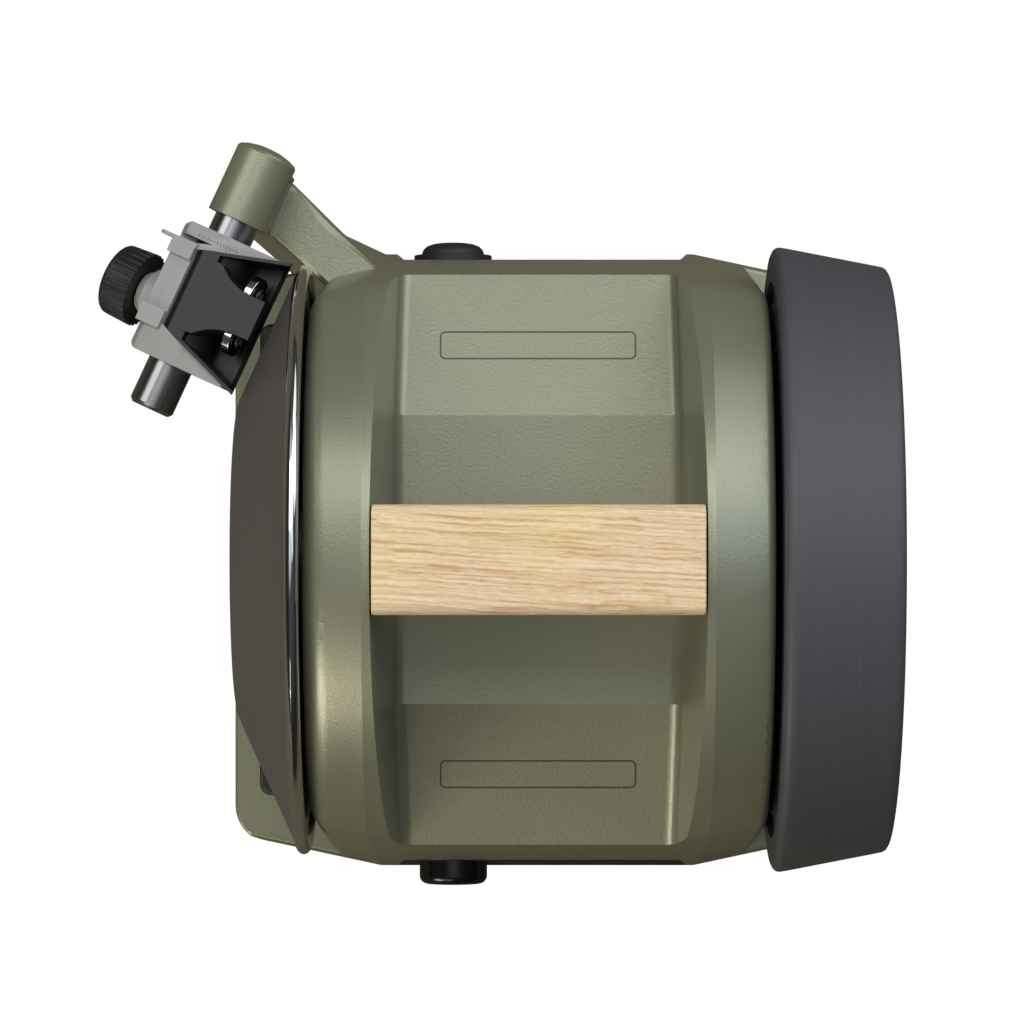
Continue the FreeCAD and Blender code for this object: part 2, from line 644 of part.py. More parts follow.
def tooth_gap(count, module, thin):
    """One half of the gap between two teeth, from inside the root to outside the tip."""
    pitch = count / 2
    base = pitch * math.cos(math.radians(20))
    tip = pitch + 1.0
    root_radius = pitch - 1.25
    roll = math.tan(math.radians(20)) - math.radians(20)
    half_gap = math.pi / (2 * count) + thin / pitch
    flank = []
    steps = 5
    low = max(base, root_radius)
    for step in range(steps + 1):
        radius = low + (tip + 0.3 - low) * step / steps
        pressure = math.acos(base / radius)
        involute = math.tan(pressure) - pressure
        angle = half_gap - roll + involute
        flank.append((radius * math.cos(angle), radius * math.sin(angle)))
    if root_radius < base:
        first = half_gap - roll
        flank.insert(0, (root_radius * math.cos(first), root_radius * math.sin(first)))
    upper = [(module * a, module * b) for a, b in flank]
    lower = [(module * a, module * -b) for a, b in reversed(flank)]
    return upper + lower


def gear(name, count, start, width, bore, thin=0.03):
    """A spur gear about the X axis, with a tooth gap centred on +Y."""
    module = size("gear_size")
    body = new_body(name)
    disc = outline(body, name + "_blank", "XZ_Plane",
                   [(start, bore), (start + width, bore), (start + width, module * (count / 2 + 1)),
                    (start, module * (count / 2 + 1))])
    blank = body.newObject("PartDesign::Revolution", name + "_disc")
    blank.Profile = disc
    blank.ReferenceAxis = (disc, ["H_Axis"])
    blank.Angle = 360
    gap = outline(body, name + "_gap", "YZ_Plane", tooth_gap(count, module, thin), start + width)
    space = body.newObject("PartDesign::Pocket", name + "_space")
    space.Profile = gap
    bind(space, Length=width)
    ring = body.newObject("PartDesign::PolarPattern", name + "_teeth")
    ring.Originals = [space]
    ring.Axis = (origin_axis(body), [""])
    ring.Angle = 360
    ring.Occurrences = count
    body.Tip = ring
    return body


def origin_axis(body):
    return [item for item in body.Origin.OriginFeatures if item.Role == "X_Axis"][0]


def spun(item, degrees, y=0, z=0):
    """Turns a gear about its own axis and moves it to its centre."""
    item.Placement = FreeCAD.Placement(FreeCAD.Vector(),
                                       FreeCAD.Rotation(FreeCAD.Vector(1, 0, 0), degrees))
    return put(item, 0, y, z)


# Gear train: motor pinion, two-step middle gear, main gear on the wheel shaft

wide = size("gear_wide")
mid_y = size("mid_y") * "gear_size"
mid_z = size("mid_z") * "gear_size"
motor_z = size("motor_z") * "gear_size"
mid_angle = math.degrees(math.atan2(mid_z.number, mid_y.number))
motor_angle = math.degrees(math.atan2(motor_z.number - mid_z.number, -mid_y.number))
main_teeth = 60
mid_big = 60
mid_small = 14
pinion_teeth = 12
bore_fit = 0.05
main_gear = gear("main_gear_body", main_teeth, size("gear_plane_main"), wide, size("shaft_radius"))
node(spun(main_gear, mid_angle), "main_gear")
small = spun(gear("mid_small", mid_small, size("gear_plane_mid") + wide, wide + 0.4,
                  size("arbor_radius") + bore_fit), mid_angle + 180 + 180 / mid_small)
big = spun(gear("mid_big", mid_big, size("gear_plane_mid"), wide, size("arbor_radius") + bore_fit),
           motor_angle)
middle = fuse("middle_gear", small, big)
pinion = spun(gear("pinion", pinion_teeth, size("gear_plane_mid"), wide, "rotor_shaft"),
              motor_angle + 180 + 180 / pinion_teeth)
node(middle, "middle_gear", 0, mid_y, mid_z)
node(pinion, "motor_pinion", 0, 0, motor_z)

# Gearbox plate on the right-hand rib, with the arbor of the middle gear

plate = box("plate_bar", ("plate_x", -18, -46), (size("plate_x") + "plate_thick", 38, 9))
plate_hole = cylinder("plate_hole", 7, 8, "X", size("plate_x") - 3)
arbor_seat = cylinder("arbor_seat", "arbor_radius", 8, "X", size("plate_x") - 3, mid_y, mid_z)
node(cut("plate_cut", plate, plate_hole, arbor_seat), "gearbox_plate")
arbor = cylinder("arbor_bar", "arbor_radius", 50.0 - size("plate_x"), "X")
node(arbor, "gear_arbor", "plate_x", mid_y, mid_z)

# Motor: laminated stator, windings, rotor, two brackets with bushes and four through bolts

half = size("motor_radius")
long = size("motor_half")
stator_block = box("stator_block", (-long, -half, motor_z - half), (long, half, motor_z + half))
stator_bore = cylinder("stator_bore", size("rotor_radius") + "rotor_gap", 80, "X", -40, 0, motor_z)
bolt_at = size(24)
corners = [(a * bolt_at, b * bolt_at) for a in (1, -1) for b in (1, -1)]
bolt_bores = [cylinder("bolt_bore_%d" % index, 2, 90, "X", -45, y, motor_z + z)
              for index, (y, z) in enumerate(corners)]
node(cut("stator_cut", stator_block, stator_bore, *bolt_bores), "motor_stator")
coil_right = cylinder("coil_right", 21.5, 6, "X", long, 0, motor_z)
coil_left = cylinder("coil_left", 21.5, 6, "X", -long - 6, 0, motor_z)
coil_bore = cylinder("coil_bore", 17, 80, "X", -40, 0, motor_z)
node(cut("coil_cut", fuse("coils", coil_right, coil_left), coil_bore), "motor_windings")
rotor = fuse("rotor_solid",
             cylinder("rotor_drum", "rotor_radius", long * 2, "X", -long, 0, motor_z),
             cylinder("rotor_bar", "rotor_shaft", 80.5, "X", -36, 0, motor_z))
node(rotor, "motor_rotor")
face = size("bracket_face")
thick = size("bracket_thick")
brackets = []
bushes = []
bolts = []
spacers = []
for side, name in ((1, "right"), (-1, "left")):
    near = face if side > 0 else -face - thick
    plate_box = box("bracket_" + name, (near, -30, motor_z - 29), (near + thick, 30, -11))
    bush_hole = cylinder("bush_hole_" + name, 7, 12, "X", near - 4, 0, motor_z)
    holes = [cylinder("bracket_hole_%s_%d" % (name, index), 2, 20, "X", near - 8, y, motor_z + z)
             for index, (y, z) in enumerate(corners)]
    rib_bolts = [cylinder("bracket_fix_%s_%d" % (name, index), 2, 20, "X", near - 8, y, -17)
                 for index, y in enumerate((-15, 15))]
    brackets.append(cut("bracket_cut_" + name, plate_box, bush_hole, *holes, *rib_bolts))
    bush = cylinder("bush_" + name, 7, thick, "X", near, 0, motor_z)
    bush_bore = cylinder("bush_bore_" + name, size("rotor_shaft") + 0.05, 20, "X", near - 6, 0, motor_z)
    bushes.append(cut("bush_cut_" + name, bush, bush_bore))
    start = long if side > 0 else -face
    for index, (y, z) in enumerate(corners):
        tube = cylinder("spacer_%s_%d" % (name, index), 3.6, face - long, "X", start, y, motor_z + z)
        inner = cylinder("spacer_bore_%s_%d" % (name, index), 2, 30, "X", start - 5, y, motor_z + z)
        spacers.append(cut("spacer_cut_%s_%d" % (name, index), tube, inner))
node(brackets[0], "motor_bracket_right")
node(brackets[1], "motor_bracket_left")
node(fuse("bush_set", *bushes), "motor_bushes")
node(fuse("spacer_set", *spacers), "motor_spacers")
for index, (y, z) in enumerate(corners):
    stem = cylinder("bolt_stem_%d" % index, 2, (face + thick) * 2, "X", -face - thick, y, motor_z + z)
    head = cylinder("bolt_head_%d" % index, 3.6, 2.2, "X", face + thick, y, motor_z + z)
    nut = cylinder("bolt_nut_%d" % index, 3.6, 2.4, "X", -face - thick - 2.4, y, motor_z + z)
    bolts.append(fuse("bolt_%d" % index, stem, head, nut))
node(fuse("bolt_set", *bolts), "motor_bolts")

# Grinding wheels with their fixing nuts

shaft_fit = size("shaft_radius")
rim_x = size("rim_x")
rim_r = size("rim_radius")
cone_x = size("cone_x")
cone_r = size("cone_radius")
face_x = size("face_x")
face_r = size("face_radius")
back_x = -size("drum_half") - "wheel_gap"
hub = size("wheel_hub")
diamond_profile = [
    (back_x, shaft_fit), (back_x, hub), (face_x + 5, hub), (face_x + 5, face_r - 1),
    (cone_x - 2.2, cone_r - 6), (back_x - 0.6, cone_r - 3), (back_x + 0.8, cone_r - 1.4),
    (rim_x + 2, rim_r - 2.2), (rim_x + 1.8, rim_r - 1.2), (rim_x + 1.2, rim_r - 0.5), (rim_x + 0.3, rim_r),
    (rim_x - 0.3, rim_r), (rim_x - 1.1, rim_r - 0.6), (rim_x - 1.6, rim_r - 1.5),
    (cone_x - 0.1, cone_r - 0.2),
    (face_x + 0.35, face_r + 0.1), (face_x, face_r - 1.2), (face_x, 12), (face_x + 4.5, 12),
    (face_x + 4.5, 9.6), (face_x + 3, 9.6), (face_x + 3, shaft_fit)]
node(turned("diamond_wheel_body", diamond_profile), "diamond_wheel")

inner_x = size("hone_inner")
crest_x = size("hone_crest")
hone_r = size("hone_radius")
outer_x = size("hone_outer")
outer_r = size("hone_outer_radius")
edge = size("hone_edge")
hone_profile = [
    (inner_x, shaft_fit), (inner_x, 66), (inner_x + 1.6, 67.5), (inner_x + 1.6, 71), (inner_x, 72.5),
    (inner_x, hone_r - 1.8), (inner_x + 0.6, hone_r - 0.6), (crest_x, hone_r),
    (outer_x - edge, outer_r + 0.32), (outer_x - edge * 0.35, outer_r - edge * 0.2),
    (outer_x, outer_r - edge), (outer_x, 30), (outer_x - 7, 28), (outer_x - 7, shaft_fit)]
node(turned("honing_wheel_body", hone_profile), "honing_wheel")


def hex_nut(name, across, start, length):
    """A six-sided nut on the main shaft."""
    radius = size(across) / math.sqrt(3)
    corners = [(radius * math.cos(math.radians(60 * step)), radius * math.sin(math.radians(60 * step)))
               for step in range(6)]
    blank = padded(name + "_blank", "YZ_Plane", corners, start, length)
    return cut(name, blank, cylinder(name + "_bore", "shaft_radius", 40, "X", start - 5))


node(hex_nut("left_nut", "nut_across", face_x - 1.4, 4.4), "diamond_wheel_nut")
right_washer = cut("right_washer", cylinder("washer_disc", 13, 1.6, "X", outer_x - 7),
                   cylinder("washer_bore", "shaft_radius", 8, "X", outer_x - 9))
node(right_washer, "honing_wheel_washer")
node(hex_nut("right_nut", "nut_across", outer_x - 5.4, 5.0), "honing_wheel_nut")

# Guide shaft, pressed into the boss of the arm

rod_start = size("arm_boss_start") + 3
rod_end = size("rod_end")
rod_r = size("rod_radius")
rod_edge = size("rod_chamfer")
rod = turned("rod", [(rod_start, 0), (rod_end, 0), (rod_end, rod_r - rod_edge), (rod_end - rod_edge, rod_r),
                     (rod_start, rod_r)])
guide_node(rod, "guide_shaft", False)

# Guide bush that slides on the shaft, and the yoke that tilts round it

near_u = size("yoke_near")
far_u = size("yoke_far")
bush_flange = size("bush_flange")
flange_thick = size("bush_flange_thick")
bush_turned = turned("bush_turned", [
    (near_u, "bush_inner"), (far_u, "bush_inner"), (far_u, "bush_outer"),
    (near_u + flange_thick, "bush_outer"), (near_u + flange_thick, bush_flange), (near_u, bush_flange)])
guide_node(bush_turned, "guide_bush", False)

hub_r = size("yoke_radius")
front_v = size("slot_face")
mouth_near = size("mouth_near")
mouth_far = size("mouth_far")
mouth_half = size("mouth_half")
hub_bar = cylinder("hub_bar", hub_r, far_u - near_u, "X", near_u)
yoke_hub = rounded("yoke_hub", hub_bar, "hub_edge", lambda b: b.XLength < 1)
yoke_side = padded("yoke_side", "YZ_Plane",
                   [(-7.5, 9.4), (-6.5, 11.6), (-4, 12.2), (front_v - 3.4, 7.2), (front_v - 2.9, 6.3),
                    (front_v - 3.2, 1.5), (front_v - 4.2, -1), (3, -11.4)],
                   near_u, far_u - near_u)
slope_far = padded("slope_far", "XZ_Plane", [(12.4, 14), (12.4, 12.3), (20, 8.6), (20, 14)], -26, 40)
slope_near = padded("slope_near", "XZ_Plane", [(-13.5, 14), (-13.5, 12.3), (-18, 10.2), (-18, 14)], -26, 40)
yoke_form = cut("yoke_form", fuse("yoke_bulk", yoke_hub, yoke_side), slope_far, slope_near)
block_near = box("block_near", (-11.9, -8.8, 6), (-7.3, -1.6, 13))
block_far = box("block_far", (7.3, -8.8, 6), (12.2, -1.9, 13))
yoke_bar = box("yoke_bar", (-8, -8.2, 6), (8, -4.2, 12))
collar_long = -size("knob_near") - 0.4
knob_boss = cylinder("knob_boss_bar", "knob_boss", collar_long - 8.4, "Y", "knob_u", -collar_long + 2.4, 0)
knob_step = cone("knob_step", size("knob_boss") - 1.8, size("knob_boss") - 0.6, 2.4, "Y", "knob_u",
                 -collar_long, 0)
yoke_solid = fuse("yoke_solid", yoke_form, block_near, block_far, yoke_bar, knob_boss, knob_step)
clear = size("insert_gap")
mouth = padded("yoke_mouth", "XY_Plane",
               [(-mouth_half - clear, -1.8), (mouth_half + clear, -1.8), (mouth_far + clear, front_v),
                (mouth_near - clear, front_v)], -20, 40)
saddle = cylinder("saddle_bar", "saddle_radius", 40, "X", -20)
mouth_open = cut("mouth_open", mouth, saddle)
yoke_bore = cylinder("yoke_bore_bar", "yoke_bore", 60, "X", -30)
flange_seat = cylinder("flange_seat", bush_flange + 0.1, flange_thick + 2.05, "X", near_u - 2)
clamp_hole = cylinder("clamp_hole", size("clamp_radius") + 0.05, 14, "Y", "knob_u", -20, 0)
leaf_slot = padded("leaf_slot", "XY_Plane", [(-13.3, -12), (-12, -12), (-12, -2.6), (-13.3, 2)], 4, 12)
guide_node(cut("yoke_cut", yoke_solid, mouth_open, yoke_bore, flange_seat, clamp_hole, leaf_slot),
           "guide_yoke")

# Black insert: a hopper that lines the mouth of the yoke, with a forward tab between two pockets

top = size("insert_top")
lip = size("slot_lip")
tab_half = size("tab_half")
lining = size("insert_lining")
insert_side = padded("insert_side", "YZ_Plane",
                     [(-1.5, 3), (-1.5, top - 1.4), (0.4, top), (2.5, top), (front_v - 2.6, lip + 1.8),
                      (front_v, lip + 0.9), (front_v, lip + 0.1), (front_v - 3.2, lip - 5.5),
                      (front_v - 4.2, -3), (3, -3)], -20, 42)
insert_plan = padded("insert_plan", "XY_Plane",
                     [(-mouth_half, -1.8), (mouth_half, -1.8), (mouth_far, front_v), (mouth_near, front_v)],
                     -20, 40)
hopper = common("hopper", insert_side, insert_plan)
core = [(size(9.9), 5.0), (size(9.65), 7.1), (size(7.3), 10.2), (size(6.3), 12.7), (tab_half, 15.7),
        (tab_half, front_v + 1)]
pockets = []
for side, mouth_edge, name in ((-1, mouth_near, "near"), (1, mouth_far, "far")):
    reach = mouth_edge - side * lining
    lean_out = (mouth_edge - side * mouth_half) / (front_v + 1.8)
    start = side * (mouth_half - lining) + lean_out * 6.8
    edge_points = [(side * a, b) for a, b in core]
    plan = padded("pocket_plan_" + name, "XY_Plane",
                  edge_points + [(reach + lean_out, front_v + 1), (start, 5.0)], -20, 40)
    above = padded("pocket_side_" + name, "YZ_Plane",
                   [(4, 20), (4, 6), (9.7, -1), (front_v - 4.6, -1), (front_v, lip + 0.6),
                    (front_v + 2, lip + 2), (front_v + 2, 20)], -20, 42)
    pockets.append(cut("pocket_" + name, common("pocket_form_" + name, plan, above),
                       cylinder("pocket_floor_" + name, size("saddle_radius") + 0.8, 40, "X", -20)))
under_tab = padded("under_tab", "YZ_Plane",
                   [(14.0, top - "insert_plate"), (14.0, -1), (front_v - 4.6, -1), (front_v, lip),
                    (front_v + 1, top - "insert_plate")], -tab_half - 1.3, tab_half * 2 + 2.6)
insert_relief = cylinder("insert_relief", "saddle_radius", 60, "X", -30)
insert_cut = cut("insert_cut", hopper, insert_relief, under_tab, *pockets)
tab = padded("insert_tab", "XY_Plane",
             [(-9.65, 7.1), (-9.9, 5), (-9.9, 2.5), (9.9, 2.5), (9.9, 5), (9.65, 7.1), (7.3, 10.2),
              (6.3, 12.7), (tab_half, 15.7), (tab_half, front_v), (-tab_half, front_v), (-tab_half, 15.7),
              (-6.3, 12.7), (-7.3, 10.2)],
             top - "insert_plate", "insert_plate")
core_top = padded("core_top", "XY_Plane",
                  [(-9.65, 7.1), (-9.9, 5), (-9.9, 2.5), (9.9, 2.5), (9.9, 5), (9.65, 7.1), (7.3, 10.2),
                   (6.3, 12.7), (5.9, 14.0), (-5.9, 14.0), (-6.3, 12.7), (-7.3, 10.2)],
                  -1, top)
core_solid = cut("core_solid", core_top, cylinder("core_relief", "saddle_radius", 60, "X", -30))
insert_solid = fuse("insert_solid", insert_cut, tab, core_solid,
                    cylinder("pin_near", "roller_pin", 5.4, "Y", -size("roller_u"), 13, "roller_w"),
                    cylinder("pin_far", "roller_pin", 5.4, "Y", "roller_u", 13, "roller_w"),
                    cylinder("pin_head_near", 2.4, 0.8, "Y", -size("roller_u"), 17, "roller_w"),
                    cylinder("pin_head_far", 2.4, 0.8, "Y", "roller_u", 17, "roller_w"))
guide_node(insert_solid, "guide_insert")
for side, name in ((-1, "near"), (1, "far")):
    disc = cylinder("roller_disc_" + name, "roller_radius", "roller_thick", "Y",
                    side * size("roller_u"), "roller_near", "roller_w")
    hole = cylinder("roller_hole_" + name, size("roller_pin") + 0.05, 12, "Y",
                    side * size("roller_u"), 8, "roller_w")
    guide_node(cut("roller_cut_" + name, disc, hole), "guide_roller_" + name)

# Pointer leaf beside the knob, clamp screw and fluted knob

leaf = box("leaf_bar", (-11.9, -13.4, 8.1), (-10.9, -8.8, 12))
guide_node(rounded("leaf_round", leaf, 1.5, lambda b: b.YMax < -13 and b.XLength > 0.9 and b.ZLength < 0.1),
           "pointer_leaf")
knob_near = size("knob_near")
knob_far = size("knob_far")
clamp_bar = cylinder("clamp_bar", "clamp_radius", 12.4, "Y", "knob_u", -20.0, 0)
guide_node(group("clamp_set", clamp_bar), "clamp_screw")
knob_cone = cone("knob_cone", "knob_outer_radius", "knob_radius", knob_near - knob_far, "Y",
                 "knob_u", knob_far, 0)
knob_round = rounded("knob_round", knob_cone, 1.2, lambda b: b.YMax < knob_far.number + 0.1)
flutes = []
for step in range(32):
    angle = math.radians(11.25 * step)
    flutes.append(cylinder("flute_%d" % step, 0.65, 14, "Y", size("knob_u") + 10.2 * math.cos(angle),
                           -26.0, 10.2 * math.sin(angle)))
knob_seat = cylinder("knob_seat", "clamp_radius", 10, "Y", "knob_u", -20.0, 0)
guide_node(cut("knob_cut", knob_round, knob_seat, *flutes), "angle_knob")

# Checks and files

doc.recompute()
broken = [item.Name for item in doc.Objects if "Invalid" in item.State or "Error" in item.State]
if broken:
    raise RuntimeError("objects that failed: %s" % ", ".join(broken))
for item in parts:
    if item.Shape.isNull() or not item.Shape.isValid():
        raise RuntimeError("bad shape: %s" % item.Label)

os.makedirs("parts", exist_ok=True)
whole = parts[0].Shape.BoundBox
for item in parts:
    item.Shape.exportStep("parts/%s.step" % item.Label)
    whole.add(item.Shape.BoundBox)
    print(item.Label, len(item.Shape.Solids), "%.0f" % item.Shape.Volume)
print(whole)
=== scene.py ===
import json
import math

import bmesh
import bpy
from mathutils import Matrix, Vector

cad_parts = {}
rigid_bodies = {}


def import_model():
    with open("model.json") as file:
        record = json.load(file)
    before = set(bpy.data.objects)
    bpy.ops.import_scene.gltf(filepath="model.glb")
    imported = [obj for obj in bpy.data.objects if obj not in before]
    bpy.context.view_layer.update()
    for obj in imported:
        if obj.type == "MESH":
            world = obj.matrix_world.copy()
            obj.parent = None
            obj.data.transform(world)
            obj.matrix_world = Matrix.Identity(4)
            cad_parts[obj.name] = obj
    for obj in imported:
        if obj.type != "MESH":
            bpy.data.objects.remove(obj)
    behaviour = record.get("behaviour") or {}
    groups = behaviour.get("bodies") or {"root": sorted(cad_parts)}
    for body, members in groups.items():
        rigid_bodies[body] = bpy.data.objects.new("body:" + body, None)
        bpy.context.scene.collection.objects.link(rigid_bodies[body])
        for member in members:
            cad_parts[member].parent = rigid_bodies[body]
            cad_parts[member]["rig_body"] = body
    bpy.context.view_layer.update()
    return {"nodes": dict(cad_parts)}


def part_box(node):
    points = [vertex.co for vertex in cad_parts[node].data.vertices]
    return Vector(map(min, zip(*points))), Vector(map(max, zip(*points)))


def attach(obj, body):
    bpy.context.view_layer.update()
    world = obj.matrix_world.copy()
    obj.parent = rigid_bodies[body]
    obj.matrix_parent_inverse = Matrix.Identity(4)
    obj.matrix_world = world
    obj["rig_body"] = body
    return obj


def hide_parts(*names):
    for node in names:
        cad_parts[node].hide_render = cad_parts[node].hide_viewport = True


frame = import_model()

# Casting: drum, walls, foot and guide arm in one zinc die casting, which carries everything else.
# It is stove enamelled in an olive green with fine metal flake, over a lightly grained skin.

MM = 0.001


def linear(hex_colour):
    """An sRGB hex colour as the linear colour a shader socket takes."""
    parts = [int(hex_colour[i:i + 2], 16) / 255 for i in (1, 3, 5)]
    return [p / 12.92 if p <= 0.04045 else ((p + 0.055) / 1.055) ** 2.4 for p in parts] + [1.0]


def add(tree, kind, settings=None, links=None):
    """Adds one node, sets its properties and inputs, and joins the sockets given."""
    node = tree.nodes.new(kind)
    for key, value in (settings or {}).items():
        if isinstance(key, int) or key in node.inputs:
            node.inputs[key].default_value = value
        else:
            setattr(node, key, value)
    for key, socket in (links or {}).items():
        tree.links.new(socket, node.inputs[key])
    return node


def set_ramp(ramp, *stops):
    """Gives a colour ramp its (position, hex colour) stops: first, last, and any between them."""
    elements = ramp.color_ramp.elements
    for element, (position, hex_colour) in zip(elements, stops):
        element.position = position
        element.color = linear(hex_colour)
    for position, hex_colour in stops[2:]:
        elements.new(position).color = linear(hex_colour)


def finish_of(name, hex_colour, roughness, metallic=0.0):
    """A new material with its principled shader and the object-space position."""
    material = bpy.data.materials.new(name)
    material.use_nodes = True
    tree = material.node_tree
    shader = tree.nodes["Principled BSDF"]
    shader.inputs["Base Color"].default_value = linear(hex_colour)
    shader.inputs["Roughness"].default_value = roughness
    shader.inputs["Metallic"].default_value = metallic
    place = add(tree, "ShaderNodeTexCoord")
    return material, tree, shader, place.outputs["Object"]


def in_scene(name, data):
    """A new object with this data, put in the scene."""
    item = bpy.data.objects.new(name, data)
    bpy.context.scene.collection.objects.link(item)
    return item


def finished(node, material, sharp_over, edge=0.0):
    """A copy of a CAD piece, merged, its edges over that many degrees sharp and rounded off."""
    source = frame["nodes"][node]
    piece = in_scene(node + "_finished", source.data.copy())
    mesh = bmesh.new()
    mesh.from_mesh(piece.data)
    bmesh.ops.remove_doubles(mesh, verts=mesh.verts, dist=0.002 * MM)
    bmesh.ops.dissolve_limit(mesh, angle_limit=math.radians(0.5), verts=mesh.verts, edges=mesh.edges)
    mesh.to_mesh(piece.data)
    mesh.free()
    if piece.data.has_custom_normals:
        piece.data.attributes.remove(piece.data.attributes["custom_normal"])
    piece.data.shade_smooth()
    piece.data.set_sharp_from_angle(angle=math.radians(sharp_over))
    piece.data.materials.clear()
    piece.data.materials.append(material)
    if edge:
        bevel = piece.modifiers.new("edges", "BEVEL")
        bevel.width = edge
        bevel.segments = 3
        bevel.limit_method = "ANGLE"
        bevel.angle_limit = math.radians(sharp_over)
        bevel.harden_normals = True
    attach(piece, source["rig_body"])
    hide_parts(node)


# Stove enamel with metal flake: flakes 2.6 to a millimetre and a slow drift over 45 mm shift the
# tone from spot to spot, and the grain of the skin breaks up the satin sheen.
enamel, tree, shader, place = finish_of("olive_flake_enamel_on_zinc", "#7d826c", 0.36, 0.45)
flake = add(tree, "ShaderNodeTexNoise", {"Scale": 2.6 / MM, "Detail": 2.0}, {"Vector": place})
drift = add(tree, "ShaderNodeTexNoise", {"Scale": 0.022 / MM, "Detail": 2.0}, {"Vector": place})
tone = add(tree, "ShaderNodeMix", {"data_type": "FLOAT", "Factor": 0.35},
           {2: flake.outputs[0], 3: drift.outputs[0]})
shade = add(tree, "ShaderNodeValToRGB", links={0: tone.outputs[0]})
set_ramp(shade, (0.3, "#7e806a"), (0.7, "#8b8c76"))
grain = add(tree, "ShaderNodeTexNoise", {"Scale": 1.5 / MM, "Detail": 2.0}, {"Vector": place})

# The cast plaque on each facet, as far in front of the handle as behind it: a blank field with rounded
# corners inside a narrow groove. The bump sinks the groove, and its darker line is painted shade in the
# colour.
plaque_away = 55.7 * MM
plaque_straight_x = 24.0 * MM
plaque_straight_y = 2.2 * MM
plaque_corner = 1.3 * MM
groove_half = 0.22 * MM
handle_low, handle_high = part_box("handle")
centre = (handle_low + handle_high) / 2
spot = add(tree, "ShaderNodeSeparateXYZ", links={0: place})
from_x = add(tree, "ShaderNodeMath", {"operation": "SUBTRACT", 1: centre.x}, {0: spot.outputs[0]})
from_y = add(tree, "ShaderNodeMath", {"operation": "SUBTRACT", 1: centre.y}, {0: spot.outputs[1]})
side_x = add(tree, "ShaderNodeMath", {"operation": "ABSOLUTE"}, {0: from_x.outputs[0]})
along_y = add(tree, "ShaderNodeMath", {"operation": "ABSOLUTE"}, {0: from_y.outputs[0]})
off_y = add(tree, "ShaderNodeMath", {"operation": "SUBTRACT", 1: plaque_away}, {0: along_y.outputs[0]})
side_y = add(tree, "ShaderNodeMath", {"operation": "ABSOLUTE"}, {0: off_y.outputs[0]})
over_x = add(tree, "ShaderNodeMath", {"operation": "SUBTRACT", 1: plaque_straight_x},
             {0: side_x.outputs[0]})
over_y = add(tree, "ShaderNodeMath", {"operation": "SUBTRACT", 1: plaque_straight_y},
             {0: side_y.outputs[0]})
past_x = add(tree, "ShaderNodeMath", {"operation": "MAXIMUM", 1: 0.0}, {0: over_x.outputs[0]})
past_y = add(tree, "ShaderNodeMath", {"operation": "MAXIMUM", 1: 0.0}, {0: over_y.outputs[0]})
corner = add(tree, "ShaderNodeCombineXYZ", links={0: past_x.outputs[0], 1: past_y.outputs[0]})
reach = add(tree, "ShaderNodeVectorMath", {"operation": "LENGTH"}, {0: corner.outputs[0]})
groove = add(tree, "ShaderNodeMath", {"operation": "COMPARE", 1: plaque_corner, 2: groove_half},
             {0: reach.outputs["Value"]})
# Painted shade: inside the groove the colour is multiplied by a grey, so the line reads darker than the
# field.
groove_painted_shade = add(tree, "ShaderNodeMix", {"data_type": "RGBA", "blend_type": "MULTIPLY", 7: linear("#8f8f8c")},
           {0: groove.outputs[0], 6: shade.outputs[0]})
tree.links.new(groove_painted_shade.outputs[2], shader.inputs["Base Color"])
relief = add(tree, "ShaderNodeMath", {"operation": "MULTIPLY_ADD", 1: -0.7},
             {0: groove.outputs[0], 2: grain.outputs[0]})
skin = add(tree, "ShaderNodeBump", {"Distance": 0.09 * MM, "Strength": 0.6},
           {"Height": relief.outputs[0]})
tree.links.new(skin.outputs[0], shader.inputs["Normal"])
finished("housing", enamel, 9, 0.5 * MM)

# Carrying handle: a bar of oiled light oak between the two ridges, its long edges rounded.
# Two screws from inside the ridges hold it. The grain runs along the bar.

# Oiled oak: pale, with fine brown lines 0.7 mm apart that run 40 mm and more, a few degrees off the
# bar's edge. A wide sway and a small ripple bend them, and open pores leave short dark dashes.
grain_askew = math.radians(3.5)
wide_sway = 3.2 * MM
small_ripple = 0.9 * MM
oak, tree, shader, place = finish_of("oiled_light_oak", "#d8c29c", 0.55)
sway = add(tree, "ShaderNodeTexNoise", {"Scale": 0.022 / MM, "Detail": 1.0}, {"Vector": place})
ripple = add(tree, "ShaderNodeTexNoise", {"Scale": 0.19 / MM, "Detail": 2.0}, {"Vector": place})
wide_bend = add(tree, "ShaderNodeVectorMath", {"operation": "SCALE", "Scale": wide_sway},
                {0: sway.outputs["Color"]})
fine_bend = add(tree, "ShaderNodeVectorMath", {"operation": "SCALE", "Scale": small_ripple},
                {0: ripple.outputs["Color"]})
bend = add(tree, "ShaderNodeVectorMath", {"operation": "ADD"},
           {0: wide_bend.outputs[0], 1: fine_bend.outputs[0]})
path = add(tree, "ShaderNodeVectorMath", {"operation": "ADD"}, {0: place, 1: bend.outputs[0]})
askew = add(tree, "ShaderNodeMapping", {"Rotation": (0.0, 0.0, grain_askew)},
            {"Vector": path.outputs[0]})
drawn_out = add(tree, "ShaderNodeMapping", {"Scale": (0.024 / MM, 1.35 / MM, 1.35 / MM)},
                {"Vector": askew.outputs[0]})
rings = add(tree, "ShaderNodeTexNoise", {"Scale": 1.0, "Detail": 3.0, "Roughness": 0.58},
            {"Vector": drawn_out.outputs[0]})
ring_colour = add(tree, "ShaderNodeValToRGB", links={0: rings.outputs[0]})
set_ramp(ring_colour, (0.33, "#c8a274"), (0.64, "#e9dcbf"), (0.46, "#dcc8a3"))
heart = add(tree, "ShaderNodeTexNoise", {"Scale": 0.03 / MM, "Detail": 1.0}, {"Vector": place})
heart_tint = add(tree, "ShaderNodeValToRGB", links={0: heart.outputs[0]})
set_ramp(heart_tint, (0.4, "#fff6dc"), (0.6, "#fff4ee"))
